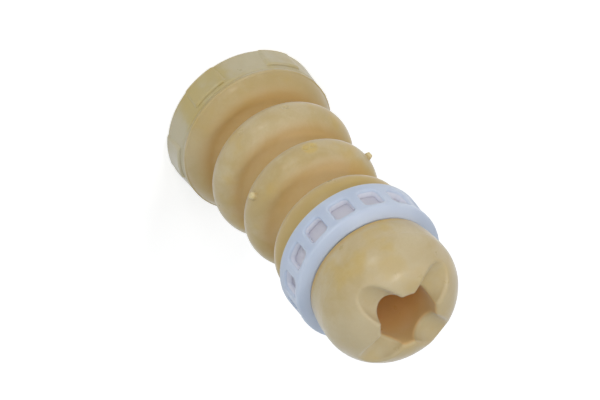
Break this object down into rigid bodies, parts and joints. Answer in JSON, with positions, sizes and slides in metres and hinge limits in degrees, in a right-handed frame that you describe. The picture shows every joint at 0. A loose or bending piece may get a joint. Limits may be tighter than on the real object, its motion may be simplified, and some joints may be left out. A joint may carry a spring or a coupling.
{
  "type": "suspension bump stop",
  "caption": "Bellows-shaped foam bump stop with a padded collar, a notched domed nose, a plain through bore for the damper rod and a white support ring behind the nose.",
  "frame": {"origin": "centre of the flat collar face, on the axis of the rod bore", "axes": "+Z along the rod bore from the collar face to the nose; +X lies 4.8 degrees before the middle of a collar pad"},
  "size_m": [0.0564, 0.0556, 0.1173],
  "materials": {
    "foam": "waxy semi-gloss moulded skin of tan microcellular polyurethane",
    "ring_plastic": "satin moulded white plastic"
  },
  "bodies": {
    "root": {"foam_body": "foam", "support_ring": "ring_plastic"}
  },
  "joints": []
}
